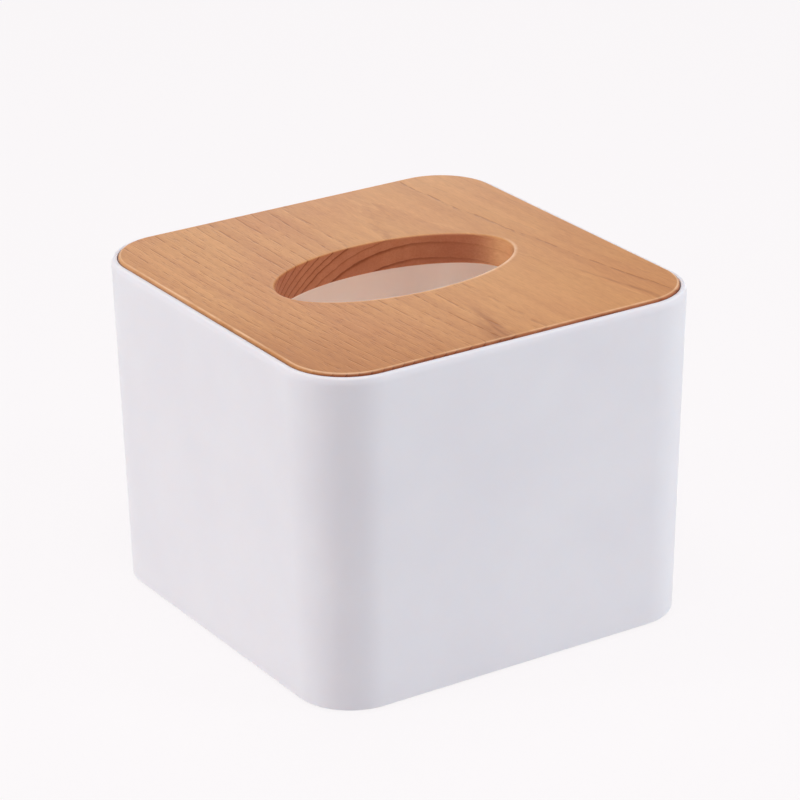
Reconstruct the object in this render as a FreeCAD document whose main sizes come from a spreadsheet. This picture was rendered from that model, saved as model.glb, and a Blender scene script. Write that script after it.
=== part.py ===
# A square tissue box cover: a moulded shell with a floor, a loose wooden lid with an oval slot, and four
# foot pads stuck under the shell. Millimetres, +Z up, with the origin on the table under the middle of the
# box. The slot runs along X, and the front is at -Y.
import FreeCAD, Part
import Sketcher
import os

SIZES = [
    # Box shell
    ("rim_width", 135.0, "outside of the shell at its rim, both ways"),
    ("shell_height", 104.0, "underside of the shell to its rim"),
    ("wall_lean", 2.6, "how far each wall leans in from the rim to the underside"),
    ("rim_corner_radius", 20.5, "outside corner in plan, at the rim"),
    ("rim_wall", 1.8, "wall round the lid"),
    ("rim_round_share", 0.85, "round of the rim's outer edge, a share of the rim wall"),
    ("rim_inner_share", 0.1, "round of the rim's inner edge, a share of the rim wall"),
    ("ledge_width", 1.6, "ledge under the lid, inwards from the rim wall"),
    ("ledge_round", 0.4, "round of the ledge's inner edge"),
    ("base_wall", 2.4, "wall at the underside"),
    ("floor_thickness", 2.5, "floor of the shell"),
    ("floor_round", 4.0, "inside round between the floor and the walls"),
    ("base_edge_round", 0.6, "round of the outside edge at the underside"),
    ("gate_well_diameter", 8.0, "shallow well round the moulding gate, under the floor"),
    ("gate_well_depth", 0.6, "depth of that well"),
    ("gate_stub_diameter", 2.4, "trimmed stub of the gate, in the well"),
    ("gate_stub_height", 0.4, "height of that stub"),
    # Wooden lid
    ("lid_thickness", 9.6, "thickness of the board"),
    ("lid_proud", 0.8, "how far the board stands above the rim"),
    ("lid_clearance", 0.3, "gap between the board and the rim wall, all round"),
    ("lid_top_round", 1.0, "round of the board's upper outer edge"),
    ("lid_under_round", 0.5, "round of the board's lower outer edge"),
    ("slot_length", 79.8, "oval slot along X"),
    ("slot_width", 42.8, "oval slot along Y"),
    ("slot_top_round", 0.7, "round of the slot's upper edge"),
    ("slot_under_round", 0.5, "round of the slot's lower edge"),
    # Foot pads
    ("pad_diameter", 12.0, "round pad"),
    ("pad_clearance", 0.2, "gap round the pad in its seat"),
    ("pad_seat_depth", 0.8, "how deep the pad sits in the floor"),
    ("pad_stand", 0.6, "how far the pad stands out below the floor"),
    ("pad_inset", 18.0, "middle of a pad to the outside of the nearest walls, at the underside"),
    ("pad_edge_round", 0.3, "round of the pad's lower edge"),
]

# Places that more than one feature follows, as expressions of the sheet
RIM_HALF = "(sizes.rim_width / 2)"
BASE_HALF = f"({RIM_HALF} - sizes.wall_lean)"
SEAT_HALF = f"({RIM_HALF} - sizes.rim_wall)"
SEAT_CORNER = "(sizes.rim_corner_radius - sizes.rim_wall)"
LEDGE_HALF = f"({SEAT_HALF} - sizes.ledge_width)"
LEDGE_CORNER = f"({SEAT_CORNER} - sizes.ledge_width)"
FLOOR_HALF = f"({BASE_HALF} - sizes.base_wall)"
LID_HALF = f"({SEAT_HALF} - sizes.lid_clearance)"
LID_CORNER = f"({SEAT_CORNER} - sizes.lid_clearance)"
PAD_PLACE = f"({BASE_HALF} - sizes.pad_inset)"
RIM_LEVEL = "sizes.shell_height"
FLOOR_LEVEL = "sizes.floor_thickness"
SEAT_DEPTH = "(sizes.lid_thickness - sizes.lid_proud)"
LEDGE_LEVEL = f"({RIM_LEVEL} - {SEAT_DEPTH})"

# Each foot pad, with its place along X and along Y
FOOT_PADS = {
    "foot_pad_front_left": (f"-{PAD_PLACE}", f"-{PAD_PLACE}"),
    "foot_pad_front_right": (PAD_PLACE, f"-{PAD_PLACE}"),
    "foot_pad_back_left": (f"-{PAD_PLACE}", PAD_PLACE),
    "foot_pad_back_right": (PAD_PLACE, PAD_PLACE),
}

# A face or an edge counts as lying at a level or on an outline when it is this near to it
TOLERANCE = 1e-5

doc = FreeCAD.newDocument("tissue_box_cover")
sheet = doc.addObject("Spreadsheet::Sheet", "sizes")
for row, (alias, size, note) in enumerate(SIZES, start=1):
    sheet.set(f"A{row}", note)
    sheet.set(f"B{row}", str(size))
    sheet.setAlias(f"B{row}", alias)
doc.recompute()


def measure(expression):
    """The value of an expression of the sheet, to draw a sketch near its place and to find edges."""
    return float(sheet.evalExpression(expression))


def new_sketch(body, name, level="0", x="0", y="0"):
    """An empty sketch parallel to the body's XY plane, with its origin at a place in the body."""
    sketch = body.newObject("Sketcher::SketchObject", name)
    plane = [feature for feature in body.Origin.OriginFeatures if feature.Role == "XY_Plane"][0]
    sketch.AttachmentSupport = [(plane, "")]
    sketch.MapMode = "FlatFace"
    for axis, place in (("x", x), ("y", y), ("z", level)):
        sketch.setExpression(f"AttachmentOffset.Base.{axis}", place)
    return sketch


def drive(sketch, name, constraint, expression):
    """Add a named dimension to a sketch and tie it to the sheet."""
    sketch.renameConstraint(sketch.addConstraint(constraint), name)
    sketch.setExpression(f"Constraints.{name}", expression)


def rounded_square(body, name, half_width, corner_radius, level="0"):
    """A square about the origin: sides 0 to 3, anticlockwise from the front, and their corner arcs 4 to 7."""
    sketch = new_sketch(body, name, level)
    half = measure(half_width)
    radius = measure(corner_radius)
    start = FreeCAD.Vector(radius - half, -half, 0)
    end = FreeCAD.Vector(half - radius, -half, 0)
    centre = FreeCAD.Vector(half - radius, radius - half, 0)
    outwards = FreeCAD.Vector(1, -1, 0).normalize() * radius
    turns = [FreeCAD.Rotation(FreeCAD.Vector(0, 0, 1), 90 * quarter) for quarter in range(5)]
    sides = [Part.LineSegment(turn.multVec(start), turn.multVec(end)) for turn in turns[:4]]
    arcs = [
        Part.Arc(turn.multVec(end), turn.multVec(centre + outwards), next_turn.multVec(start))
        for turn, next_turn in zip(turns, turns[1:])
    ]
    sketch.addGeometry(sides + arcs)
    for side in range(4):
        sketch.addConstraint(Sketcher.Constraint("Tangent", side, 2, 4 + side, 1))
        sketch.addConstraint(Sketcher.Constraint("Tangent", 4 + side, 2, (side + 1) % 4, 1))
        sketch.addConstraint(Sketcher.Constraint(("Horizontal", "Vertical")[side % 2], side))
    for arc in (5, 6, 7):
        sketch.addConstraint(Sketcher.Constraint("Equal", 4, arc))
    sketch.addConstraint(Sketcher.Constraint("Symmetric", 4, 3, 6, 3, -1, 1))
    drive(sketch, "width", Sketcher.Constraint("DistanceX", 3, 1, 1, 1, 2 * half), f"2 * {half_width}")
    drive(sketch, "depth", Sketcher.Constraint("DistanceY", 0, 1, 2, 1, 2 * half), f"2 * {half_width}")
    drive(sketch, "corner", Sketcher.Constraint("Radius", 4, radius), corner_radius)
    return sketch


def circle(body, name, diameter, level="0", x="0", y="0"):
    """One circle about the sketch's origin."""
    sketch = new_sketch(body, name, level, x, y)
    width = measure(diameter)
    sketch.addGeometry(Part.Circle(FreeCAD.Vector(), FreeCAD.Vector(0, 0, 1), width / 2))
    sketch.addConstraint(Sketcher.Constraint("Coincident", 0, 3, -1, 1))
    drive(sketch, "diameter", Sketcher.Constraint("Diameter", 0, width), diameter)
    return sketch


def oval(body, name, length, width):
    """An ellipse about the origin, long along X, whose two axes are lines 1 and 2."""
    sketch = new_sketch(body, name)
    long_axis = measure(length)
    short_axis = measure(width)
    long_end = FreeCAD.Vector(long_axis / 2, 0, 0)
    short_end = FreeCAD.Vector(0, short_axis / 2, 0)
    sketch.addGeometry(Part.Ellipse(long_end, short_end, FreeCAD.Vector()))
    sketch.exposeInternalGeometry(0)
    sketch.addConstraint(Sketcher.Constraint("Coincident", 0, 3, -1, 1))
    sketch.addConstraint(Sketcher.Constraint("Horizontal", 1))
    drive(sketch, "length", Sketcher.Constraint("Distance", 1, long_axis), length)
    drive(sketch, "width", Sketcher.Constraint("Distance", 2, short_axis), width)
    return sketch


def pad(body, name, sketch, length, downwards=False):
    """Add material from a sketch, upwards or downwards."""
    feature = body.newObject("PartDesign::Pad", name)
    feature.Profile = sketch
    feature.Reversed = downwards
    feature.setExpression("Length", length)
    doc.recompute()
    return feature


def pocket(body, name, sketch, depth, upwards=False):
    """Take material away from a sketch, downwards or upwards."""
    before = body.Shape.Volume
    feature = body.newObject("PartDesign::Pocket", name)
    feature.Profile = sketch
    feature.Reversed = upwards
    feature.setExpression("Length", depth)
    doc.recompute()
    if not 0 < body.Shape.Volume < before:
        raise RuntimeError(f"{name} cuts nothing")
    return feature


def lean_walls(body, name, feature, low, high, inset, hollow):
    """Lean a feature's walls in towards their low end: those of a block, or those of a hollow."""
    drafted = body.newObject("PartDesign::Draft", name)
    drafted.Base = (feature, faces_between(feature, low, high))
    drafted.NeutralPlane = (feature, faces_between(feature, high, high))
    drafted.Reversed = not hollow
    drafted.setExpression("Angle", f"atan({inset} / ({high} - {low}))")
    doc.recompute()
    return drafted


def fillet(body, name, feature, level, reach, radius):
    """Round a feature's edges at a level, on the outline with a reach."""
    rounded = body.newObject("PartDesign::Fillet", name)
    rounded.Base = (feature, edges_at(feature, level, reach))
    rounded.setExpression("Radius", radius)
    doc.recompute()
    return rounded


def faces_between(feature, low, high):
    """Names of the faces that reach exactly from one level to another."""
    names = []
    for number, face in enumerate(feature.Shape.Faces, start=1):
        box = face.BoundBox
        if max(abs(box.ZMin - measure(low)), abs(box.ZMax - measure(high))) < TOLERANCE:
            names.append(f"Face{number}")
    return names


def edges_at(feature, level, reach):
    """Names of the edges at a level whose farthest point along X or Y is at a reach from the middle."""
    names = []
    for number, edge in enumerate(feature.Shape.Edges, start=1):
        box = edge.BoundBox
        farthest = max(abs(box.XMin), abs(box.XMax), abs(box.YMin), abs(box.YMax))
        off_level = max(abs(box.ZMin - measure(level)), abs(box.ZMax - measure(level)))
        if max(off_level, abs(farthest - measure(reach))) < TOLERANCE:
            names.append(f"Edge{number}")
    return names


# Box shell: one moulding, open at the top. Its walls lean in towards the floor, so that it leaves the mould,
# and a ledge inside the rim carries the lid.
shell = doc.addObject("PartDesign::Body", "box_shell")
rim_outline = rounded_square(shell, "rim_outline", RIM_HALF, "sizes.rim_corner_radius")
block = pad(shell, "block", rim_outline, RIM_LEVEL)
outside = lean_walls(shell, "outside", block, "0", RIM_LEVEL, "sizes.wall_lean", hollow=False)
rim = fillet(shell, "rim_round", outside, RIM_LEVEL, RIM_HALF, "sizes.rim_wall * sizes.rim_round_share")
fillet(shell, "base_edge_round", rim, "0", BASE_HALF, "sizes.base_edge_round")
seat_outline = rounded_square(shell, "lid_seat_outline", SEAT_HALF, SEAT_CORNER, RIM_LEVEL)
pocket(shell, "lid_seat", seat_outline, SEAT_DEPTH)
ledge_outline = rounded_square(shell, "ledge_outline", LEDGE_HALF, LEDGE_CORNER, LEDGE_LEVEL)
cavity = pocket(shell, "cavity", ledge_outline, f"{LEDGE_LEVEL} - {FLOOR_LEVEL}")
cavity_lean = f"({LEDGE_HALF} - {FLOOR_HALF})"
inside = lean_walls(shell, "inside", cavity, FLOOR_LEVEL, LEDGE_LEVEL, cavity_lean, hollow=True)
floor = fillet(shell, "floor_round", inside, FLOOR_LEVEL, FLOOR_HALF, "sizes.floor_round")
ledge = fillet(shell, "ledge_round", floor, LEDGE_LEVEL, LEDGE_HALF, "sizes.ledge_round")
fillet(shell, "rim_inner_round", ledge, RIM_LEVEL, SEAT_HALF, "sizes.rim_wall * sizes.rim_inner_share")
well_outline = circle(shell, "gate_well_outline", "sizes.gate_well_diameter")
pocket(shell, "gate_well", well_outline, "sizes.gate_well_depth", upwards=True)
stub_outline = circle(shell, "gate_stub_outline", "sizes.gate_stub_diameter", "sizes.gate_well_depth")
pad(shell, "gate_stub", stub_outline, "sizes.gate_stub_height", downwards=True)
for label, (x, y) in FOOT_PADS.items():
    seat_diameter = "(sizes.pad_diameter + 2 * sizes.pad_clearance)"
    pad_seat_outline = circle(shell, f"{label}_seat_outline", seat_diameter, x=x, y=y)
    pocket(shell, f"{label}_seat", pad_seat_outline, "sizes.pad_seat_depth", upwards=True)
shell.setExpression("Placement.Base.z", "sizes.pad_stand")

# Wooden lid: one flat board that drops into the rim and rests on the ledge. Fingers go into its oval slot to
# lift it off, and tissues come out through it.
lid = doc.addObject("PartDesign::Body", "wooden_lid")
board_outline = rounded_square(lid, "board_outline", LID_HALF, LID_CORNER)
pad(lid, "board", board_outline, "sizes.lid_thickness")
slot_outline = oval(lid, "slot_outline", "sizes.slot_length", "sizes.slot_width")
lid_shape = pocket(lid, "slot", slot_outline, "sizes.lid_thickness", upwards=True)
lid_rounds = [
    ("lid_top_round", "sizes.lid_thickness", LID_HALF),
    ("lid_under_round", "0", LID_HALF),
    ("slot_top_round", "sizes.lid_thickness", "(sizes.slot_length / 2)"),
    ("slot_under_round", "0", "(sizes.slot_length / 2)"),
]
for size, level, reach in lid_rounds:
    lid_shape = fillet(lid, f"{size}ing", lid_shape, level, reach, f"sizes.{size}")
lid.setExpression("Placement.Base.z", f"sizes.pad_stand + {LEDGE_LEVEL}")

# Foot pads: soft discs stuck into round seats under the floor, so that the box stays put when a tissue is
# pulled out.
foot_pads = []
for label, (x, y) in FOOT_PADS.items():
    foot_pad = doc.addObject("PartDesign::Body", label)
    pad_outline = circle(foot_pad, f"{label}_outline", "sizes.pad_diameter")
    disc = pad(foot_pad, f"{label}_disc", pad_outline, "sizes.pad_stand + sizes.pad_seat_depth")
    fillet(foot_pad, f"{label}_edge", disc, "0", "(sizes.pad_diameter / 2)", "sizes.pad_edge_round")
    foot_pad.setExpression("Placement.Base.x", x)
    foot_pad.setExpression("Placement.Base.y", y)
    foot_pads.append(foot_pad)
doc.recompute()

for item in doc.Objects:
    if "Invalid" in item.State or "Error" in item.State:
        raise RuntimeError(f"{item.Name} failed")
pieces = [shell, lid] + foot_pads
for piece in pieces:
    if piece.Shape.isNull() or not piece.Shape.isValid() or len(piece.Shape.Solids) != 1:
        raise RuntimeError(f"{piece.Label} isn't one sound solid")
os.makedirs("parts", exist_ok=True)
for piece in pieces:
    piece.Shape.exportStep(f"parts/{piece.Label}.step")
    box = piece.Shape.optimalBoundingBox()
    print(f"{piece.Label}: {piece.Shape.Volume:.1f} mm3, z {box.ZMin:.2f} to {box.ZMax:.2f}, x to {box.XMax:.2f}")
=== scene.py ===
import math

import bmesh
import bpy
from mathutils import Matrix, Vector


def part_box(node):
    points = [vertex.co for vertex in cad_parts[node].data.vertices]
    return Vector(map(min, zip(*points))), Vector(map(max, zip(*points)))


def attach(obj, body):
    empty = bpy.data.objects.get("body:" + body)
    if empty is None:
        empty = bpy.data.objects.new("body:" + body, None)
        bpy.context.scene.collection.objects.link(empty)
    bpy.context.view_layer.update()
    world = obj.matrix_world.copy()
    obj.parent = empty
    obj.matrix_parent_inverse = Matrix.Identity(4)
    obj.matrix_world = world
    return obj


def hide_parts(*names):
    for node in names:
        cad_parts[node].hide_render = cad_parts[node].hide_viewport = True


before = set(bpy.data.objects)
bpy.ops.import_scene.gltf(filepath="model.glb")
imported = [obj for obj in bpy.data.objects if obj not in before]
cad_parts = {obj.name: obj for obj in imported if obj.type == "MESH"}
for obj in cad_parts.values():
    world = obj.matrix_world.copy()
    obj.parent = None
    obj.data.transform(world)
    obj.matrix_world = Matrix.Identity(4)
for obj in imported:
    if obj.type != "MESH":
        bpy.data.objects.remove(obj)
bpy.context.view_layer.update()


# Box shell
# The body is one injection moulding in white polypropylene: four walls that lean in to a flat
# floor, round at the corners, with a thin rim and a narrow ledge inside it for the lid. The
# sprue was cut off in a shallow well under the floor, and each foot pad has a round seat there.
MM = 0.001
RIM_HALF = 67.5 * MM
RIM_CORNER = 20.5 * MM
RIM_WALL = 1.8 * MM
RIM_ROUND = 0.9 * MM
RIM_SHOULDER_IN = 0.03 * MM
RIM_SHOULDER_DROP = 1.5 * MM
RIM_SHOULDER_ROUND = 4.0 * MM
RIM_CREST_IN = 0.7 * MM
RIM_INNER_ROUND = 0.18 * MM
WALL_LEAN = 2.6 * MM
BASE_WALL = 2.4 * MM
BASE_EDGE_ROUND = 0.6 * MM
LEDGE_WIDTH = 1.6 * MM
LEDGE_ROUND = 0.4 * MM
LEDGE_INNER_ROUND = 0.15 * MM
FLOOR_THICKNESS = 2.5 * MM
FLOOR_ROUND = 4.0 * MM
FLAT_MARGIN = 1.0 * MM
PAD_PLACE = 46.9 * MM
SEAT_RADIUS = 6.2 * MM
SEAT_DEPTH = 0.8 * MM
WELL_RADIUS = 4.0 * MM
WELL_DEPTH = 0.6 * MM
STUB_RADIUS = 1.2 * MM
STUB_HEIGHT = 0.4 * MM
CORNER_STEPS = 32
ROUND_STEPS = 9
SEAT_STEPS = 64
SHARP_FROM = math.radians(40)
MERGE_WITHIN = 0.002 * MM

underside_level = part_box("box_shell")[0].z
rim_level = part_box("box_shell")[1].z
ledge_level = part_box("wooden_lid")[0].z
floor_level = underside_level + FLOOR_THICKNESS
floor_inset = WALL_LEAN + BASE_WALL

# Corners of the wall's section: distance in from the rim's outline, height, and round
WALL_SECTION = (
    (WALL_LEAN + BASE_EDGE_ROUND + FLAT_MARGIN, underside_level, 0),
    (WALL_LEAN, underside_level, BASE_EDGE_ROUND),
    (RIM_SHOULDER_IN, rim_level - RIM_SHOULDER_DROP, RIM_SHOULDER_ROUND),
    (RIM_CREST_IN, rim_level, RIM_ROUND),
    (RIM_WALL, rim_level, RIM_INNER_ROUND),
    (RIM_WALL, ledge_level, LEDGE_INNER_ROUND),
    (RIM_WALL + LEDGE_WIDTH, ledge_level, LEDGE_ROUND),
    (floor_inset, floor_level, FLOOR_ROUND),
    (floor_inset + FLOOR_ROUND + FLAT_MARGIN, floor_level, 0),
)


def add_node(tree, kind, inputs=None, **settings):
    """Adds a node. An input given as a socket is linked, and any other value is set."""
    node = tree.nodes.new(kind)
    for name, value in settings.items():
        setattr(node, name, value)
    for name, value in (inputs or {}).items():
        if isinstance(value, bpy.types.NodeSocket):
            tree.links.new(value, node.inputs[name])
        else:
            node.inputs[name].default_value = value
    return node


def maths(tree, operation, *values):
    """One step of arithmetic on values and sockets."""
    return add_node(tree, "ShaderNodeMath", dict(enumerate(values)), operation=operation).outputs[0]


def add_sockets(tree, direction, sockets):
    """Gives a node group its named inputs or outputs."""
    for name, kind in sockets.items():
        tree.interface.new_socket(name, in_out=direction, socket_type="NodeSocket" + kind)


def made_by_nodes(name, seed_mesh, tree, values):
    """Runs a node tree on a seed mesh and gives the result as a plain mesh."""
    seed = bpy.data.objects.new(name + "_seed", seed_mesh)
    bpy.context.collection.objects.link(seed)
    modifier = seed.modifiers.new(tree.name, "NODES")
    modifier.node_group = tree
    for socket in tree.interface.items_tree:
        if socket.in_out == "INPUT" and socket.name in values:
            modifier[socket.identifier] = values[socket.name]
    graph = bpy.context.evaluated_depsgraph_get()
    mesh = bpy.data.meshes.new_from_object(seed.evaluated_get(graph), depsgraph=graph)
    mesh.name = name
    bpy.data.objects.remove(seed)
    return mesh


def finished_piece(name, mesh):
    """Closes the mesh, turns its faces outwards, keeps sharp edges and shades the rest smooth."""
    shape = bmesh.new()
    shape.from_mesh(mesh)
    bmesh.ops.remove_doubles(shape, verts=shape.verts, dist=MERGE_WITHIN)
    bmesh.ops.recalc_face_normals(shape, faces=shape.faces)
    for edge in shape.edges:
        edge.smooth = edge.calc_face_angle(math.pi) < SHARP_FROM
    for face in shape.faces:
        face.smooth = True
    shape.to_mesh(mesh)
    shape.free()
    piece = bpy.data.objects.new(name, mesh)
    bpy.context.collection.objects.link(piece)
    weighting = piece.modifiers.new("flat_faces_stay_flat", "WEIGHTED_NORMAL")
    weighting.keep_sharp = True
    return piece


def section_mesh(name, corners):
    """A chain of edges through the section's corners, each corner with its round as an attribute.

    The sweep turns a section's X outwards and its Y downwards.
    """
    mesh = bpy.data.meshes.new(name)
    points = [(-inset, -height, 0) for inset, height, _ in corners]
    mesh.from_pydata(points, [(i, i + 1) for i in range(len(points) - 1)], [])
    rounds = mesh.attributes.new("round", "FLOAT", "POINT")
    rounds.data.foreach_set("value", [corner[2] for corner in corners])
    return mesh


def moulded_shell_tree():
    """Sweeps the section round the rim's outline, then closes the floor and the underside."""
    tree = bpy.data.node_groups.new("moulded_shell", "GeometryNodeTree")
    sizes = ("Half width", "Corner", "Underside level", "Floor level", "Pad place", "Seat radius",
             "Seat depth", "Well radius", "Well depth", "Stub share", "Stub height")
    add_sockets(tree, "INPUT", {"Section": "Geometry", "Plastic": "Material"})
    add_sockets(tree, "INPUT", {size: "Float" for size in sizes})
    add_sockets(tree, "OUTPUT", {"Shell": "Geometry"})
    given = tree.nodes.new("NodeGroupInput").outputs

    width = maths(tree, "MULTIPLY", given["Half width"], 2.0)
    square = add_node(tree, "GeometryNodeCurvePrimitiveQuadrilateral", {
        "Width": width, "Height": width})
    outline = add_node(tree, "GeometryNodeFilletCurve", {
        "Curve": square.outputs[0], "Count": CORNER_STEPS, "Radius": given["Corner"]}, mode="POLY")
    upright = add_node(tree, "GeometryNodeSetCurveNormal", {
        "Curve": outline.outputs[0]}, mode="Z_UP")
    corners = add_node(tree, "GeometryNodeMeshToCurve", {"Mesh": given["Section"]})
    rounds = add_node(tree, "GeometryNodeInputNamedAttribute", {"Name": "round"}, data_type="FLOAT")
    section = add_node(tree, "GeometryNodeFilletCurve", {
        "Curve": corners.outputs[0], "Count": ROUND_STEPS, "Radius": rounds.outputs[0]}, mode="POLY")
    walls = add_node(tree, "GeometryNodeCurveToMesh", {
        "Curve": upright.outputs[0], "Profile Curve": section.outputs[0]})

    faces_of_edge = add_node(tree, "GeometryNodeInputMeshEdgeNeighbors")
    place = add_node(tree, "GeometryNodeInputPosition")
    height = add_node(tree, "ShaderNodeSeparateXYZ", {0: place.outputs[0]}).outputs["Z"]
    open_edge = maths(tree, "LESS_THAN", faces_of_edge.outputs[0], 2)
    levels = maths(tree, "ADD", given["Underside level"], given["Floor level"])
    below = maths(tree, "LESS_THAN", height, maths(tree, "MULTIPLY", levels, 0.5))
    above = maths(tree, "SUBTRACT", 1.0, below)
    floor_loop = add_node(tree, "GeometryNodeMeshToCurve", {
        "Mesh": walls.outputs[0], "Selection": maths(tree, "MULTIPLY", open_edge, above)})
    under_loop = add_node(tree, "GeometryNodeMeshToCurve", {
        "Mesh": walls.outputs[0], "Selection": maths(tree, "MULTIPLY", open_edge, below)})
    flat_floor = add_node(tree, "GeometryNodeFillCurve", {"Curve": floor_loop.outputs[0]})
    lift = add_node(tree, "ShaderNodeCombineXYZ", {"Z": given["Floor level"]}).outputs[0]
    floor = add_node(tree, "GeometryNodeTransform", {
        "Geometry": flat_floor.outputs[0], "Translation": lift})

    spacing = maths(tree, "MULTIPLY", given["Pad place"], 2.0)
    grid = add_node(tree, "GeometryNodeMeshGrid", {
        "Size X": spacing, "Size Y": spacing, "Vertices X": 2, "Vertices Y": 2})
    seat = add_node(tree, "GeometryNodeMeshCircle", {
        "Vertices": SEAT_STEPS, "Radius": given["Seat radius"]}, fill_type="NGON")
    seats = add_node(tree, "GeometryNodeInstanceOnPoints", {
        "Points": grid.outputs[0], "Instance": seat.outputs[0]})
    seat_discs = add_node(tree, "GeometryNodeRealizeInstances", {"Geometry": seats.outputs[0]})
    well_disc = add_node(tree, "GeometryNodeMeshCircle", {
        "Vertices": SEAT_STEPS, "Radius": given["Well radius"]}, fill_type="NGON")
    up = add_node(tree, "ShaderNodeCombineXYZ", {"Z": 1.0}).outputs[0]
    seat_wells = add_node(tree, "GeometryNodeExtrudeMesh", {
        "Mesh": seat_discs.outputs[0], "Offset": up, "Offset Scale": given["Seat depth"]})
    well = add_node(tree, "GeometryNodeExtrudeMesh", {
        "Mesh": well_disc.outputs[0], "Offset": up, "Offset Scale": given["Well depth"]})
    stub_ring = add_node(tree, "GeometryNodeExtrudeMesh", {
        "Mesh": well.outputs[0], "Selection": well.outputs["Top"], "Offset Scale": 0.0})
    stub_end = add_node(tree, "GeometryNodeScaleElements", {
        "Geometry": stub_ring.outputs[0], "Selection": stub_ring.outputs["Top"],
        "Scale": given["Stub share"]})
    stub = add_node(tree, "GeometryNodeExtrudeMesh", {
        "Mesh": stub_end.outputs[0], "Selection": stub_ring.outputs["Top"], "Offset": up,
        "Offset Scale": maths(tree, "MULTIPLY", given["Stub height"], -1.0)})

    discs = add_node(tree, "GeometryNodeJoinGeometry")
    hollows = add_node(tree, "GeometryNodeJoinGeometry")
    for disc in (seat_discs, well_disc):
        tree.links.new(disc.outputs[0], discs.inputs[0])
    for hollow in (seat_wells, stub):
        tree.links.new(hollow.outputs[0], hollows.inputs[0])
    drop = add_node(tree, "ShaderNodeCombineXYZ", {"Z": given["Underside level"]}).outputs[0]
    low_discs = add_node(tree, "GeometryNodeTransform", {
        "Geometry": discs.outputs[0], "Translation": drop})
    low_hollows = add_node(tree, "GeometryNodeTransform", {
        "Geometry": hollows.outputs[0], "Translation": drop})
    disc_loops = add_node(tree, "GeometryNodeMeshToCurve", {"Mesh": low_discs.outputs[0]})
    under_loops = add_node(tree, "GeometryNodeJoinGeometry")
    for loop in (under_loop, disc_loops):
        tree.links.new(loop.outputs[0], under_loops.inputs[0])
    flat_under = add_node(tree, "GeometryNodeFillCurve", {"Curve": under_loops.outputs[0]})
    under = add_node(tree, "GeometryNodeTransform", {
        "Geometry": flat_under.outputs[0], "Translation": drop})

    whole = add_node(tree, "GeometryNodeJoinGeometry")
    for part in (walls, floor, under, low_hollows):
        tree.links.new(part.outputs[0], whole.inputs[0])
    real = add_node(tree, "GeometryNodeRealizeInstances", {"Geometry": whole.outputs[0]})
    painted = add_node(tree, "GeometryNodeSetMaterial", {
        "Geometry": real.outputs[0], "Material": given["Plastic"]})
    add_node(tree, "NodeGroupOutput", {"Shell": painted.outputs[0]})
    return tree


def placed_in_mm(tree):
    """Where a point of the piece lies, in mm from the origin."""
    place = add_node(tree, "ShaderNodeTexCoord").outputs["Object"]
    scaled = add_node(tree, "ShaderNodeVectorMath", {0: place, "Scale": 1 / MM}, operation="SCALE")
    return scaled.outputs[0]


def moulded_grain_group():
    """Fine grain and broad clouding of a moulded surface, as masks around one half."""
    group = bpy.data.node_groups.new("moulded_grain", "ShaderNodeTree")
    add_sockets(group, "INPUT", {"Grain per mm": "Float", "Clouds per mm": "Float"})
    add_sockets(group, "OUTPUT", {"Grain": "Float", "Clouds": "Float"})
    given = group.nodes.new("NodeGroupInput").outputs
    place = placed_in_mm(group)
    grain = add_node(group, "ShaderNodeTexNoise", {
        "Vector": place, "Scale": given["Grain per mm"], "Detail": 3.0, "Roughness": 0.6})
    clouds = add_node(group, "ShaderNodeTexNoise", {
        "Vector": place, "Scale": given["Clouds per mm"], "Detail": 2.0})
    add_node(group, "NodeGroupOutput", {"Grain": grain.outputs[0], "Clouds": clouds.outputs[0]})
    return group


def new_material(name):
    """A material with an empty node tree."""
    material = bpy.data.materials.new(name)
    material.use_nodes = True
    material.node_tree.nodes.clear()
    return material


def mixed(tree, share, first, second, mode="MIX"):
    """One colour laid over another by a share."""
    factor, colour_a, colour_b, colour_result = 0, 6, 7, 2
    node = add_node(tree, "ShaderNodeMix", {factor: share, colour_a: first, colour_b: second},
                    data_type="RGBA", blend_type=mode)
    return node.outputs[colour_result]


def ranged(tree, value, old, new, curve="LINEAR"):
    """The value, taken from an old range to a new one and held at its ends."""
    node = add_node(tree, "ShaderNodeMapRange", {
        "Value": value, "From Min": old[0], "From Max": old[1], "To Min": new[0], "To Max": new[1]},
        interpolation_type=curve)
    return node.outputs[0]


# Noise stays mostly within its span, and the clouds turn one white into the other
NOISE_SPAN = (0.3, 0.7)
PLASTIC_WHITE = (0.875, 0.856, 0.880, 1)
PLASTIC_SHADE = (0.845, 0.826, 0.853, 1)
PLASTIC_ROUGHNESS = (0.40, 0.46)
PLASTIC_GRAIN_PER_MM = 2.2
PLASTIC_CLOUDS_PER_MM = 0.035
PLASTIC_GRAIN_HEIGHT = 0.05 * MM
PLASTIC_GLOW_DEPTH = 0.8 * MM

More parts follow.
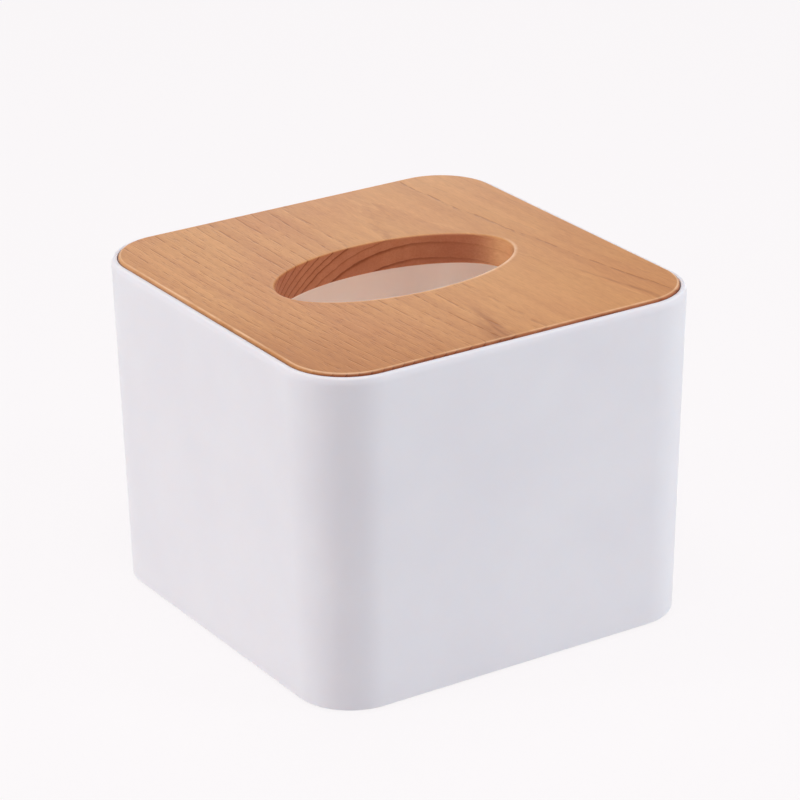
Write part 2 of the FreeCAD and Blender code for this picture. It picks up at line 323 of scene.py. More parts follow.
moulded_grain = moulded_grain_group()
white_plastic = new_material("white_polypropylene")
plastic_tree = white_plastic.node_tree
plastic_marks = add_node(plastic_tree, "ShaderNodeGroup", node_tree=moulded_grain)
plastic_marks.inputs["Grain per mm"].default_value = PLASTIC_GRAIN_PER_MM
plastic_marks.inputs["Clouds per mm"].default_value = PLASTIC_CLOUDS_PER_MM
plastic_clouds = plastic_marks.outputs["Clouds"]
plastic_shading = ranged(plastic_tree, plastic_clouds, NOISE_SPAN, (0, 1))
plastic_bump = add_node(plastic_tree, "ShaderNodeBump", {
    "Height": plastic_marks.outputs["Grain"], "Strength": 0.10, "Distance": PLASTIC_GRAIN_HEIGHT})
plastic = add_node(plastic_tree, "ShaderNodeBsdfPrincipled", {
    "Base Color": mixed(plastic_tree, plastic_shading, PLASTIC_SHADE, PLASTIC_WHITE),
    "Roughness": ranged(plastic_tree, plastic_clouds, NOISE_SPAN, PLASTIC_ROUGHNESS),
    "IOR": 1.49,
    "Subsurface Weight": 1.0,
    "Subsurface Radius": (1.0, 0.9, 0.85),
    "Subsurface Scale": PLASTIC_GLOW_DEPTH,
    "Normal": plastic_bump.outputs[0]})
add_node(plastic_tree, "ShaderNodeOutputMaterial", {"Surface": plastic.outputs[0]})

shell_mesh = made_by_nodes("box_shell_moulding", section_mesh("wall_section", WALL_SECTION),
                           moulded_shell_tree(), {
    "Half width": RIM_HALF,
    "Corner": RIM_CORNER,
    "Underside level": underside_level,
    "Floor level": floor_level,
    "Pad place": PAD_PLACE,
    "Seat radius": SEAT_RADIUS,
    "Seat depth": SEAT_DEPTH,
    "Well radius": WELL_RADIUS,
    "Well depth": WELL_DEPTH,
    "Stub share": STUB_RADIUS / WELL_RADIUS,
    "Stub height": STUB_HEIGHT,
    "Plastic": white_plastic})
shell = finished_piece("box_shell_moulding", shell_mesh)
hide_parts("box_shell")
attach(shell, "box")


# Wooden lid
# The lid is a flat-sawn board of a fine reddish hardwood, cut to the rim's inner outline with an
# oval slot routed through it. Its arrises are sanded round and it has a satin clear lacquer. It
# lies loose on the ledge, and the slot is also where fingers lift it.
# A pale highlight is painted along the arrises and the slot's edge, where light catches them.
LID_HALF = 65.4 * MM
LID_CORNER = 18.4 * MM
LID_TOP_ROUND = 1.0 * MM
LID_UNDER_ROUND = 0.5 * MM
SLOT_HALF_LENGTH = 39.9 * MM
SLOT_HALF_WIDTH = 21.4 * MM
SLOT_TOP_ROUND = 0.7 * MM
SLOT_HIGHLIGHT_STRIP = 0.9 * MM
SLOT_UNDER_ROUND = 0.5 * MM
LID_ARC_STEPS = 24
LID_SIDE_STEPS = 24
ARRIS_STEPS = 6
# Strength of the painted highlight round the arrises and the slot's edge, and how it falls off
PEAK_ARRIS_HIGHLIGHT = 2.2
ARRIS_HIGHLIGHT_FALL = 6
END_GRAIN_EDGE_HIGHLIGHT = 0.7
SLOT_LEAST_HIGHLIGHT = 0.08
SLOT_HIGHLIGHT_RIGHT = 0.5
SLOT_HIGHLIGHT_FRONT = 0.9
BOARD_STEPS = 4

lid_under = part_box("wooden_lid")[0].z
lid_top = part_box("wooden_lid")[1].z


def lid_outline(inset):
    """The lid's outer outline, drawn in by a distance: four sides and four corner arcs."""
    points = []
    straight = LID_HALF - LID_CORNER
    radius = LID_CORNER - inset
    for corner in range(4):
        turn = Matrix.Rotation(corner * math.pi / 2, 2)
        for step in range(LID_SIDE_STEPS):
            along = straight * (2 * step / LID_SIDE_STEPS - 1)
            points.append(turn @ Vector((LID_HALF - inset, along)))
        for step in range(LID_ARC_STEPS):
            angle = step / LID_ARC_STEPS * math.pi / 2
            arm = Vector((math.cos(angle), math.sin(angle))) * radius
            points.append(turn @ (Vector((straight, straight)) + arm))
    return points


def slot_outline(inset):
    """The slot's oval, moved into the wood by a distance, with a point for each of the outline's."""
    points = []
    for outer in lid_outline(0):
        reach = Vector((outer.x / SLOT_HALF_LENGTH, outer.y / SLOT_HALF_WIDTH)).length
        oval = outer / reach
        slope = Vector((oval.x / SLOT_HALF_LENGTH ** 2, oval.y / SLOT_HALF_WIDTH ** 2))
        points.append(oval + slope.normalized() * inset)
    return points


def outer_edge_highlight(point):
    """How strong the painted highlight is on the outer edge: stronger along the grain than on the end
    grain.
    """
    straight = LID_HALF - LID_CORNER
    middle = Vector(max(-straight, min(straight, value)) for value in point)
    outward = (point - middle).normalized()
    return END_GRAIN_EDGE_HIGHLIGHT + (1 - END_GRAIN_EDGE_HIGHLIGHT) * outward.x ** 2


def slot_edge_highlight(point):
    """How strong the painted highlight is on the slot's edge: most at the front and the right."""
    to_right = SLOT_HIGHLIGHT_RIGHT * point.x / SLOT_HALF_LENGTH
    to_front = SLOT_HIGHLIGHT_FRONT * -point.y / SLOT_HALF_WIDTH
    return SLOT_LEAST_HIGHLIGHT + (1 - SLOT_LEAST_HIGHLIGHT) * min(1, max(0, to_right + to_front))


def arris(outline, highlight_at, radius, level, upward):
    """Rings round a rounded edge, from flat face to upright wall: points, height and strength of the
    painted highlight.
    """
    rings = []
    for step in range(ARRIS_STEPS + 1):
        angle = step / ARRIS_STEPS * math.pi / 2
        height = level + upward * radius * (1 - math.cos(angle))
        profile_highlight = PEAK_ARRIS_HIGHLIGHT * math.sin(2 * angle) * math.cos(angle) ** ARRIS_HIGHLIGHT_FALL
        points = outline(radius * (1 - math.sin(angle)))
        rings.append((points, height, [profile_highlight * highlight_at(point) for point in points]))
    return rings


def lid_mesh():
    """Closed rings round the board: over the top, down the edge, back underneath, up the slot."""
    over_edge = arris(lid_outline, outer_edge_highlight, LID_TOP_ROUND, lid_top, -1)
    under_edge = arris(lid_outline, outer_edge_highlight, LID_UNDER_ROUND, lid_under, 1)
    under_slot = arris(slot_outline, slot_edge_highlight, SLOT_UNDER_ROUND, lid_under, 1)
    over_slot = arris(slot_outline, slot_edge_highlight, SLOT_TOP_ROUND, lid_top, -1)
    # The painted highlight on the slot's edge fades out across a strip of the flat top
    lip = slot_outline(SLOT_TOP_ROUND + SLOT_HIGHLIGHT_STRIP)
    over_slot[0] = (over_slot[0][0], lid_top, [slot_edge_highlight(point) for point in over_slot[0][0]])
    board = [(lip, lid_top, [0] * len(lip))]
    for step in range(1, BOARD_STEPS):
        between = zip(lip, over_edge[0][0])
        points = [inner.lerp(outer, step / BOARD_STEPS) for inner, outer in between]
        board.append((points, lid_top, [0] * len(points)))
    rings = board + over_edge + under_edge[::-1] + under_slot + over_slot[::-1]

    shape = bmesh.new()
    arris_highlight = shape.verts.layers.float.new("arris_highlight")
    loops = []
    for points, level, paleness in rings:
        loops.append([shape.verts.new((point.x, point.y, level)) for point in points])
        for vertex, pale in zip(loops[-1], paleness):
            vertex[arris_highlight] = pale
    for ring, following in zip(loops, loops[1:] + loops[:1]):
        for i in range(len(ring)):
            shape.faces.new((ring[i - 1], ring[i], following[i], following[i - 1]))
    mesh = bpy.data.meshes.new("wooden_lid_board")
    shape.to_mesh(mesh)
    shape.free()
    return mesh


# The board was sawn from a log whose heart ran along Y, below it and to the right of its middle.
# Distances are in mm, and the year rings are given by their distance from the heart.
HEART_DEPTH = 79.8
HEART_DEPTH_PER_Y = 0.02
HEART_X = 21.5
HEART_BEND = 0.0005
HEART_BEND_FROM_Y = 44.0
RING_SPAN = (60.0, 120.0)
DARK_RING_RADIUS = 83.9
RING_RADII = (72.85, 78.0, 80.8, DARK_RING_RADIUS, 85.7, 87.9)
FIRST_RING = 3
DARK_RING = FIRST_RING + RING_RADII.index(DARK_RING_RADIUS) - 1
OUTER_RING_WIDTH = 2.2
MOST_RINGS = 24.0
RING_WAVER = 1.6
RING_RIPPLE = 0.9

# Colours of the bare wood and of the painted highlights, then the factors for end grain and for the
# routed wall
EARLY_WOOD = (0.694, 0.325, 0.106, 1)
LATE_WOOD = (0.360, 0.110, 0.020, 1)
RED_WOOD = (0.636, 0.272, 0.090, 1)
DEEP_WOOD = (0.506, 0.182, 0.039, 1)
RING_HIGHLIGHT_WOOD = (0.760, 0.390, 0.140, 1)
ARRIS_HIGHLIGHT_WOOD = (0.960, 0.640, 0.390, 1)
END_GRAIN = (0.634, 0.412, 0.382, 1)
ROUTED_WALL = (1.0, 1.12, 1.66, 1)

# Cells of noise per mm, across the grain and along it
WAVER_CELLS = (0.05, 0.010)
RIPPLE_CELLS = (0.30, 0.05)
DASH_CELLS = (0.6, 0.17)
GUM_CELLS = (0.9, 0.12)
FIBRE_CELLS = (2.4, 0.06)
FLECK_CELLS = (1.9, 0.28)
PORE_CELLS = (2.2, 0.20)
STRIPE_CELLS = (0.22, 0.006)
CLOUD_CELLS = (0.04, 0.016)
HIGHLIGHT_CELLS = (0.12, 0.08)

lid_wood = new_material("lacquered_hardwood")
wood_tree = lid_wood.node_tree
in_mm = placed_in_mm(wood_tree)
across, along, height = add_node(wood_tree, "ShaderNodeSeparateXYZ", {0: in_mm}).outputs


def ring_count(radius):
    """Counts the year rings out from the heart: whole numbers fall on the ring boundaries."""
    low, high = RING_SPAN
    last = FIRST_RING + len(RING_RADII) - 1 + (high - RING_RADII[-1]) / OUTER_RING_WIDTH
    node = add_node(wood_tree, "ShaderNodeFloatCurve", {
        "Value": ranged(wood_tree, radius, RING_SPAN, (0, 1))})
    points = node.mapping.curves[0].points
    points[0].location = (0, 0)
    points[1].location = (1, last / MOST_RINGS)
    for number, ring_radius in enumerate(RING_RADII, FIRST_RING):
        points.new((ring_radius - low) / (high - low), number / MOST_RINGS)
    for point in points:
        point.handle_type = "VECTOR"
    node.mapping.update()
    return maths(wood_tree, "MULTIPLY", node.outputs[0], MOST_RINGS)


def wood_noise(cells, detail, roughness=0.5):
    """Noise drawn out along the grain, with so many cells per mm across it and along it."""
    stretch = (cells[0], cells[1], cells[0])
    stretched = add_node(wood_tree, "ShaderNodeVectorMath", {0: in_mm, 1: stretch},
                         operation="MULTIPLY").outputs[0]
    noise = add_node(wood_tree, "ShaderNodeTexNoise", {
        "Vector": stretched, "Scale": 1.0, "Detail": detail, "Roughness": roughness})
    return noise.outputs[0]


def times(*values):
    """The product of several values."""
    result = values[0]
    for value in values[1:]:
        result = maths(wood_tree, "MULTIPLY", result, value)
    return result


def swing(noise, size):
    """Noise made to swing about zero by half a size to each side."""
    return maths(wood_tree, "MULTIPLY_ADD", noise, size, -size / 2)


# Year rings: how far a point is from the heart, and where it lies in its ring
bend = maths(wood_tree, "SUBTRACT", HEART_BEND_FROM_Y, along)
heart_x = maths(wood_tree, "MULTIPLY_ADD", times(bend, bend), HEART_BEND, HEART_X)
heart_depth = maths(wood_tree, "MULTIPLY_ADD", along, HEART_DEPTH_PER_Y, HEART_DEPTH - lid_top / MM)
sideways = maths(wood_tree, "SUBTRACT", across, heart_x)
upwards = maths(wood_tree, "ADD", heart_depth, height)
square_sum = maths(wood_tree, "MULTIPLY_ADD", sideways, sideways, times(upwards, upwards))
waver = swing(wood_noise(WAVER_CELLS, detail=2), RING_WAVER)
ripple = swing(wood_noise(RIPPLE_CELLS, detail=2), RING_RIPPLE)
unevenness = maths(wood_tree, "ADD", waver, ripple)
ring = ring_count(maths(wood_tree, "ADD", maths(wood_tree, "SQRT", square_sum), unevenness))
ring_share = maths(wood_tree, "FRACT", ring)
ring_number = maths(wood_tree, "FLOOR", ring)

# Where the surface cuts across the grain, and where it is a wall
END_GRAIN_TILT = (0.20, 0.85)
WALL_TILT = (0.2, 0.7)

normal = add_node(wood_tree, "ShaderNodeTexCoord").outputs["Normal"]
facing = add_node(wood_tree, "ShaderNodeSeparateXYZ", {0: normal}).outputs
facing_along = maths(wood_tree, "ABSOLUTE", facing["Y"])
facing_up = maths(wood_tree, "ABSOLUTE", facing["Z"])
end_share = ranged(wood_tree, facing_along, END_GRAIN_TILT, (0, 1), "SMOOTHSTEP")
wall_share = ranged(wood_tree, facing_up, WALL_TILT, (1, 0))

# Late wood darkens slowly and ends in a sharp line, broken into dashes along the grain. The line
# is broader on end grain, differs from ring to ring and is faint on the right.
SLOW_PART = (0.30, 0.98)
LINE_STARTS = (0.86, 0.74)
LINE_DARKEST = 0.96
LINE_END = (0.975, 1.0)
RING_HIGHLIGHT_PART = (0.0, 0.12)
RING_WEIGHTS = (0.5, 1.0)
DARK_RING_WEIGHT = 0.8
FAINT_FROM = (-22, 10)
FAINT_WEIGHT = 0.30
DASH_NOISE = (0.46, 0.56)
BETWEEN_DASHES = 0.05
SLOW_STRENGTH = 0.16
LINE_STRENGTH = 0.74

slow = ranged(wood_tree, ring_share, SLOW_PART, (0, 1), "SMOOTHSTEP")
line_start = ranged(wood_tree, end_share, (0, 1), LINE_STARTS)
darkening = ranged(wood_tree, ring_share, (line_start, LINE_DARKEST), (0, 1), "SMOOTHSTEP")
line = times(darkening, ranged(wood_tree, ring_share, LINE_END, (1, 0)))
# Just past each ring line a pale strip is painted, a highlight that stands in for light on the line's
# relief
ring_line_highlight = ranged(wood_tree, ring_share, RING_HIGHLIGHT_PART, (1, 0), "SMOOTHSTEP")
ring_chance = add_node(wood_tree, "ShaderNodeTexWhiteNoise", {"W": ring_number},
                       noise_dimensions="1D").outputs[0]
faint_side = ranged(wood_tree, sideways, FAINT_FROM, (1, FAINT_WEIGHT))
own_weight = times(ranged(wood_tree, ring_chance, (0, 1), RING_WEIGHTS), faint_side)
in_dark_ring = maths(wood_tree, "COMPARE", ring_number, DARK_RING, 0.5)
ring_weight = maths(wood_tree, "MAXIMUM", own_weight, times(in_dark_ring, DARK_RING_WEIGHT))
broken = wood_noise(DASH_CELLS, detail=2, roughness=0.6)
dashes = ranged(wood_tree, broken, DASH_NOISE, (BETWEEN_DASHES, 1))
dark_line = times(line, ring_weight, maths(wood_tree, "MAXIMUM", dashes, end_share))
late_share = maths(wood_tree, "ADD", times(slow, ring_weight, SLOW_STRENGTH),
                   times(dark_line, LINE_STRENGTH))

# Two gum streaks, the first with a broader stain beside it. Places are X and Y in mm.
STREAK_GROWTH = (0, 0.8)
STREAK_SPREAD = (0.5, 1.5)
GUM_NOISE = (0.35, 0.65)
GUM_PATCHES = (0.5, 1.0)
STAIN_STRENGTH = 0.7
RIGHT_STREAK_STRENGTH = 0.6


def streak(start, end, width):
    """A soft dark streak that grows and spreads from a point on the board's face to its edge."""
    reach = (start[1], end[1])
    run = ranged(wood_tree, along, reach, (0, 1))
    line_x = ranged(wood_tree, along, reach, (start[0], end[0]))
    aside = maths(wood_tree, "ABSOLUTE", maths(wood_tree, "SUBTRACT", across, line_x))
    strength = ranged(wood_tree, run, STREAK_GROWTH, (0, 1), "SMOOTHSTEP")
    spots = wood_noise(GUM_CELLS, detail=2, roughness=0.6)
    patchy = ranged(wood_tree, spots, GUM_NOISE, GUM_PATCHES)
    spread = ranged(wood_tree, run, (0, 1), [width * share for share in STREAK_SPREAD])
    return times(ranged(wood_tree, aside, (0, spread), (1, 0), "SMOOTHSTEP"), strength, patchy)


front_streak = streak(start=(1.8, -33.0), end=(-3.9, -62.5), width=2.2)
front_stain = times(streak(start=(-1.0, -40.0), end=(-6.4, -62.5), width=3.4), STAIN_STRENGTH)
right_streak = times(streak(start=(40.0, -18.0), end=(49.5, -60.0), width=0.9), RIGHT_STREAK_STRENGTH)
front_gum = maths(wood_tree, "MAXIMUM", front_streak, front_stain)
streaks = maths(wood_tree, "ADD", front_gum, right_streak)

# Fibres, short flecks, pores, broad stripes and clouds of tone. Pores thin out to the right.
FLECKS_FROM = (-45, 10)
FLECK_DEPTHS = (0.28, 0.26)
PORE_NOISE = (0.60, 0.68)
PORES_FROM = (-45, 0)
PORE_SHARES = (1.0, 0.25)

fibre = wood_noise(FIBRE_CELLS, detail=3, roughness=0.6)
flecks = wood_noise(FLECK_CELLS, detail=2, roughness=0.6)
fleck_depth = ranged(wood_tree, sideways, FLECKS_FROM, FLECK_DEPTHS)
pores = times(ranged(wood_tree, wood_noise(PORE_CELLS, detail=1), PORE_NOISE, (0, 1)),
              ranged(wood_tree, sideways, PORES_FROM, PORE_SHARES))
stripe = wood_noise(STRIPE_CELLS, detail=3)
cloud = wood_noise(CLOUD_CELLS, detail=2)

# The colour: ground, a painted highlight beside the ring lines, rings and streaks, then the tones,
# the cut of the surface and the painted highlight on the arrises
CLOUD_NOISE = (0.35, 0.70)
DEEP_SLANT = 0.8
DEEP_FROM = (-100, -45)
DEEP_SHARE = 0.7
RING_HIGHLIGHT_STRENGTH = 0.6
RING_STRENGTHS = (0.85, 1.6)
STREAK_STRENGTH = 0.95
FIBRE_NOISE = (0.2, 0.8)
FIBRE_TONES = (0.95, 1.05)
STRIPE_NOISE = (0.25, 0.75)
STRIPE_TONES = (0.93, 1.07)
PORE_TONES = (1.0, 0.87)
GREEN_POWER = 1.5
BLUE_POWER = 2.0
HIGHLIGHT_NOISE = (0.38, 0.62)
HIGHLIGHT_SHARES = (0.5, 1.0)

clouding = ranged(wood_tree, cloud, CLOUD_NOISE, (0, 1))
clouded = mixed(wood_tree, clouding, EARLY_WOOD, RED_WOOD)
slanted = maths(wood_tree, "MULTIPLY_ADD", along, DEEP_SLANT, across)
deep_side = ranged(wood_tree, slanted, DEEP_FROM, (DEEP_SHARE, 0), "SMOOTHSTEP")
ground = mixed(wood_tree, deep_side, clouded, DEEP_WOOD)
# Painted highlight beside the ring lines
ring_highlit = mixed(wood_tree, times(ring_line_highlight, ring_weight, dashes, RING_HIGHLIGHT_STRENGTH), ground, RING_HIGHLIGHT_WOOD)
ring_strength = ranged(wood_tree, end_share, (0, 1), RING_STRENGTHS)
ringed = mixed(wood_tree, times(late_share, ring_strength), ring_highlit, LATE_WOOD)
streaked = mixed(wood_tree, times(streaks, STREAK_STRENGTH), ringed, LATE_WOOD)

fleck_swing = maths(wood_tree, "SUBTRACT", flecks, 0.5)
tones = times(ranged(wood_tree, fibre, FIBRE_NOISE, FIBRE_TONES),
              ranged(wood_tree, stripe, STRIPE_NOISE, STRIPE_TONES),
              maths(wood_tree, "MULTIPLY_ADD", fleck_swing, fleck_depth, 1.0),
              ranged(wood_tree, pores, (0, 1), PORE_TONES))
warm_tones = add_node(wood_tree, "ShaderNodeCombineXYZ", {
    "X": tones,
    "Y": maths(wood_tree, "POWER", tones, GREEN_POWER),
    "Z": maths(wood_tree, "POWER", tones, BLUE_POWER)}).outputs[0]
toned = add_node(wood_tree, "ShaderNodeVectorMath", {0: streaked, 1: warm_tones},
                 operation="MULTIPLY").outputs[0]
end_toned = mixed(wood_tree, end_share, toned, END_GRAIN, "MULTIPLY")
walled = mixed(wood_tree, wall_share, end_toned, ROUTED_WALL, "MULTIPLY")
# A pale colour along the arrises and the slot's edge is a painted highlight, made patchy by noise
arris_highlight = add_node(wood_tree, "ShaderNodeAttribute", attribute_name="arris_highlight").outputs["Fac"]
highlight_noise = wood_noise(HIGHLIGHT_CELLS, detail=3, roughness=0.6)
highlight_patches = ranged(wood_tree, highlight_noise, HIGHLIGHT_NOISE, HIGHLIGHT_SHARES)
wood_colour = mixed(wood_tree, times(arris_highlight, highlight_patches), walled, ARRIS_HIGHLIGHT_WOOD)

# The relief under the lacquer: fibres and flecks stand up, pores and ring lines lie deeper
FIBRE_RISE = 0.20
FLECK_RISE = 0.20
PORE_DIP = 0.4
LINE_DIP = 0.9
RELIEF_HEIGHT = 0.12 * MM
LACQUER_FROM = (0.2, 1.6)
LACQUER_ROUGHNESS = (0.33, 0.52)

raised = maths(wood_tree, "ADD", times(fibre, FIBRE_RISE), times(flecks, FLECK_RISE))
sunken = maths(wood_tree, "ADD", times(pores, PORE_DIP), times(dark_line, LINE_DIP))
relief = maths(wood_tree, "SUBTRACT", raised, sunken)
wood_bump = add_node(wood_tree, "ShaderNodeBump", {
    "Height": relief, "Strength": 0.65, "Distance": RELIEF_HEIGHT})
dullness = maths(wood_tree, "ADD", fibre, end_share)
lacquer = add_node(wood_tree, "ShaderNodeBsdfPrincipled", {
    "Base Color": wood_colour,
    "Roughness": ranged(wood_tree, dullness, LACQUER_FROM, LACQUER_ROUGHNESS),
    "IOR": 1.46,
    "Normal": wood_bump.outputs[0]})
add_node(wood_tree, "ShaderNodeOutputMaterial", {"Surface": lacquer.outputs[0]})

board_mesh = lid_mesh()
board_mesh.materials.append(lid_wood)
board = finished_piece("wooden_lid_board", board_mesh)
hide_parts("wooden_lid")
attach(board, "lid")


# Foot pads
# Four discs of soft grey rubber, cut with a rounded lower edge and stuck into the seats under the
# floor. A shallow ring is pressed into the face that stands on the table.
PAD_RADIUS = 6.0 * MM
PAD_EDGE_ROUND = 0.3 * MM
PAD_RING_RADIUS = 3.6 * MM
PAD_RING_WIDTH = 0.8 * MM
PAD_RING_DEPTH = 0.15 * MM
PAD_STEPS = 64
RUBBER_DARK = (0.235, 0.235, 0.245, 1)
RUBBER_PALE = (0.305, 0.305, 0.315, 1)
RUBBER_ROUGHNESS = (0.75, 0.9)
RUBBER_GRAIN_PER_MM = 5.0
RUBBER_CLOUDS_PER_MM = 0.4
RUBBER_GRAIN_HEIGHT = 0.05 * MM

pad_under, pad_top = (corner.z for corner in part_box("foot_pad_front_left"))


def pad_mesh():
    """One pad at the middle, turned from its half section about the upright axis."""
    half_ring = PAD_RING_WIDTH / 2
    section = [(0, pad_under), (PAD_RING_RADIUS - half_ring, pad_under)]
    for step in range(1, ROUND_STEPS):
        angle = step / ROUND_STEPS * math.pi
        dip = PAD_RING_DEPTH * math.sin(angle)
        section.append((PAD_RING_RADIUS - half_ring * math.cos(angle), pad_under + dip))
    section.append((PAD_RING_RADIUS + half_ring, pad_under))
    for step in range(ROUND_STEPS + 1):
        angle = step / ROUND_STEPS * math.pi / 2
        section.append((PAD_RADIUS - PAD_EDGE_ROUND * (1 - math.sin(angle)),
                        pad_under + PAD_EDGE_ROUND * (1 - math.cos(angle))))
    section += [(PAD_RADIUS, pad_top), (0, pad_top)]
    shape = bmesh.new()
    chain = [shape.verts.new((reach, 0, level)) for reach, level in section]
    edges = [shape.edges.new(pair) for pair in zip(chain, chain[1:])]
    bmesh.ops.spin(shape, geom=chain + edges, cent=(0, 0, 0), axis=(0, 0, 1),
                   angle=2 * math.pi, steps=PAD_STEPS)
    bmesh.ops.remove_doubles(shape, verts=shape.verts, dist=MERGE_WITHIN)
    mesh = bpy.data.meshes.new("foot_pad")
    shape.to_mesh(mesh)
    shape.free()
    return mesh


def four_corners_tree():
    """Sets the given piece at the four corners of a square."""
    tree = bpy.data.node_groups.new("four_corners", "GeometryNodeTree")
    add_sockets(tree, "INPUT", {"Piece": "Geometry", "Place": "Float", "Rubber": "Material"})
    add_sockets(tree, "OUTPUT", {"Pieces": "Geometry"})
    given = tree.nodes.new("NodeGroupInput").outputs
    spacing = maths(tree, "MULTIPLY", given["Place"], 2.0)
    grid = add_node(tree, "GeometryNodeMeshGrid", {
        "Size X": spacing, "Size Y": spacing, "Vertices X": 2, "Vertices Y": 2})
    copies = add_node(tree, "GeometryNodeInstanceOnPoints", {
        "Points": grid.outputs[0], "Instance": given["Piece"]})
    real = add_node(tree, "GeometryNodeRealizeInstances", {"Geometry": copies.outputs[0]})
    painted = add_node(tree, "GeometryNodeSetMaterial", {
        "Geometry": real.outputs[0], "Material": given["Rubber"]})
    add_node(tree, "NodeGroupOutput", {"Pieces": painted.outputs[0]})
    return tree


pad_rubber = new_material("grey_rubber")
rubber_tree = pad_rubber.node_tree
rubber_marks = add_node(rubber_tree, "ShaderNodeGroup", node_tree=moulded_grain)
rubber_marks.inputs["Grain per mm"].default_value = RUBBER_GRAIN_PER_MM
rubber_marks.inputs["Clouds per mm"].default_value = RUBBER_CLOUDS_PER_MM
rubber_grain = rubber_marks.outputs["Grain"]
rubber_shading = ranged(rubber_tree, rubber_marks.outputs["Clouds"], NOISE_SPAN, (0, 1))
rubber_bump = add_node(rubber_tree, "ShaderNodeBump", {
    "Height": rubber_grain, "Strength": 0.5, "Distance": RUBBER_GRAIN_HEIGHT})
rubber = add_node(rubber_tree, "ShaderNodeBsdfPrincipled", {
    "Base Color": mixed(rubber_tree, rubber_shading, RUBBER_DARK, RUBBER_PALE),
    "Roughness": ranged(rubber_tree, rubber_grain, NOISE_SPAN, RUBBER_ROUGHNESS),
    "Normal": rubber_bump.outputs[0]})
add_node(rubber_tree, "ShaderNodeOutputMaterial", {"Surface": rubber.outputs[0]})

pads_mesh = made_by_nodes("foot_pads", pad_mesh(), four_corners_tree(), {
    "Place": PAD_PLACE, "Rubber": pad_rubber})
pads = finished_piece("foot_pads", pads_mesh)
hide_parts("foot_pad_front_left", "foot_pad_front_right",
            "foot_pad_back_left", "foot_pad_back_right")
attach(pads, "box")


# Studio
# A wide pale floor, a soft surround, a large softbox far to each side, two overhead and a weak one
# behind. The front corner lies between the side lamps, so it stays darker than the two faces.
FLOOR_HALF = 30.0
FLOOR_SEEN = (0.999, 0.972, 0.981, 1)
FLOOR_LIT = (0.82, 0.805, 0.813, 1)
FLOOR_SEEN_SHARE = 0.88
SURROUND = (0.308, 0.292, 0.316, 1)
DIFFUSE_BOUNCES = 12
GLOW_POWER = 0.0375
GLOW_COLOUR = (1.0, 0.95, 0.78)
GLOW_SIZE = 20 * MM

floor_mesh = bpy.data.meshes.new("studio_floor")
floor_corners = [(-FLOOR_HALF, -FLOOR_HALF, 0), (FLOOR_HALF, -FLOOR_HALF, 0),
                 (FLOOR_HALF, FLOOR_HALF, 0), (-FLOOR_HALF, FLOOR_HALF, 0)]
floor_mesh.from_pydata(floor_corners, [], [(0, 1, 2, 3)])
floor = bpy.data.objects.new("studio_floor", floor_mesh)
bpy.context.collection.objects.link(floor)

# Looked at, the paper is mostly its own pale colour and a little of the light and shadow on it
floor_paper = new_material("pale_paper")
paper_tree = floor_paper.node_tree
rays = add_node(paper_tree, "ShaderNodeLightPath").outputs
in_mirror_or_glass = maths(paper_tree, "MAXIMUM",
                           rays["Is Glossy Ray"], rays["Is Transmission Ray"])
looked_at = maths(paper_tree, "MAXIMUM", rays["Is Camera Ray"], in_mirror_or_glass)
lit_paper = add_node(paper_tree, "ShaderNodeBsdfDiffuse", {"Color": FLOOR_LIT})
plain_paper = add_node(paper_tree, "ShaderNodeEmission", {"Color": FLOOR_SEEN, "Strength": 1.0})
paper = add_node(paper_tree, "ShaderNodeMixShader", {
    0: maths(paper_tree, "MULTIPLY", looked_at, FLOOR_SEEN_SHARE),
    1: lit_paper.outputs[0],
    2: plain_paper.outputs[0]})
add_node(paper_tree, "ShaderNodeOutputMaterial", {"Surface": paper.outputs[0]})
floor_mesh.materials.append(floor_paper)

world = bpy.data.worlds.new("studio_surround")
world.use_nodes = True
world.node_tree.nodes.clear()
surround = add_node(world.node_tree, "ShaderNodeBackground", {"Color": SURROUND, "Strength": 1.0})
add_node(world.node_tree, "ShaderNodeOutputWorld", {"Surface": surround.outputs[0]})
bpy.context.scene.world = world
bpy.context.scene.cycles.diffuse_bounces = DIFFUSE_BOUNCES
bpy.context.scene.view_settings.view_transform = "Standard"


def softbox(name, bearing, elevation, distance, size, power, colour, mirrored=True):
    """A square lamp that faces the middle of the box from a bearing, in degrees from +X.

    No view shows the lamp itself, and the lacquer mirrors it only where that is asked.
    """
    lamp = bpy.data.lights.new(name, "AREA")
    lamp.size = size
    lamp.energy = power
    lamp.color = colour
    around = math.radians(bearing)
    rise = math.radians(elevation)
    level = Vector((math.cos(around), math.sin(around), 0))
    away = level * math.cos(rise) + Vector((0, 0, math.sin(rise)))
    holder = bpy.data.objects.new(name, lamp)
    holder.location = Vector((0, 0, rim_level / 2)) + away * distance
    holder.rotation_euler = away.to_track_quat("Z", "Y").to_euler()
    holder.visible_camera = False
    holder.visible_glossy = mirrored
    bpy.context.collection.objects.link(holder)


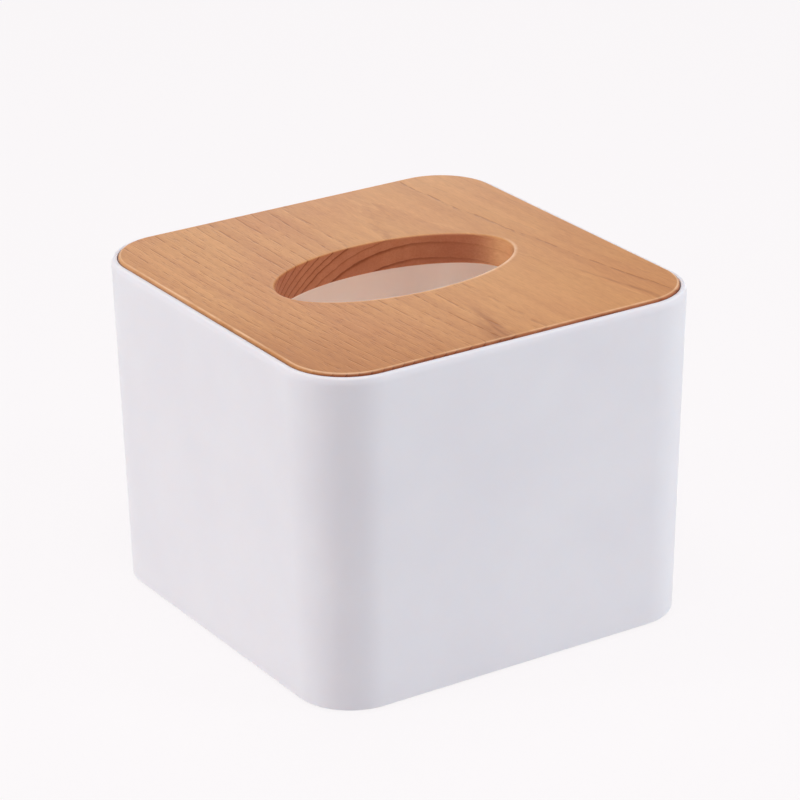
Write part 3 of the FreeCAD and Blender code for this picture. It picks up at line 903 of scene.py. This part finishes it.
softbox("left_softbox", bearing=161, elevation=8, distance=2.0, size=0.5,
        power=15.9, colour=(0.985, 1.0, 0.99), mirrored=False)
softbox("right_softbox", bearing=315, elevation=12, distance=2.0, size=0.6,
        power=16.0, colour=(0.87, 0.965, 1.0), mirrored=False)
softbox("top_softbox", bearing=90, elevation=88, distance=1.2, size=0.9,
        power=5.3, colour=(1.0, 0.98, 0.985))
softbox("front_top_softbox", bearing=237, elevation=68, distance=1.2, size=0.5,
        power=2.4, colour=(1.0, 0.99, 0.99))
softbox("back_softbox", bearing=59, elevation=10, distance=1.6, size=0.4,
        power=1.2, colour=(1.0, 1.0, 1.0))

# A weak lamp in the box stands in for the light that the thin walls let through to the inside
inside_glow = bpy.data.lights.new("inside_glow", "POINT")
inside_glow.energy = GLOW_POWER
inside_glow.color = GLOW_COLOUR
inside_glow.shadow_soft_size = GLOW_SIZE
glow_holder = bpy.data.objects.new("inside_glow", inside_glow)
glow_holder.location = (0, 0, rim_level / 2)
bpy.context.collection.objects.link(glow_holder)


# Camera
# It stands where the photograph was taken, above the rim and to the left of the front.
# The lens, place and tilt come from fitting the box's own edges in the photograph.
CAMERA_BEARING = -32.756
CAMERA_ELEVATION = 22.715
CAMERA_ROLL = -0.673
CAMERA_DISTANCE = 1.07768
CAMERA_SIDE_STEP = 0.000876
CAMERA_AIM_LEVEL = 0.06252
FOCAL_PIXELS = 3573.86
IMAGE_PIXELS = 800
SENSOR_WIDTH = 36.0

bearing = math.radians(CAMERA_BEARING)
rise = math.radians(CAMERA_ELEVATION)
roll = math.radians(CAMERA_ROLL)
right = Vector((math.cos(bearing), math.sin(bearing), 0))
level_back = Vector((math.sin(bearing), -math.cos(bearing), 0))
back = level_back * math.cos(rise) + Vector((0, 0, math.sin(rise)))
up = back.cross(right)
stand = Vector((0, 0, CAMERA_AIM_LEVEL)) + back * CAMERA_DISTANCE + right * CAMERA_SIDE_STEP
rolled_right = right * math.cos(roll) + up * math.sin(roll)
rolled_up = up * math.cos(roll) - right * math.sin(roll)
lens = bpy.data.cameras.new("photo_camera")
lens.sensor_width = SENSOR_WIDTH
lens.lens = FOCAL_PIXELS / IMAGE_PIXELS * SENSOR_WIDTH
camera = bpy.data.objects.new("photo_camera", lens)
turn = Matrix((rolled_right, rolled_up, back)).transposed().to_4x4()
camera.matrix_world = Matrix.Translation(stand) @ turn
bpy.context.collection.objects.link(camera)
bpy.context.scene.camera = camera
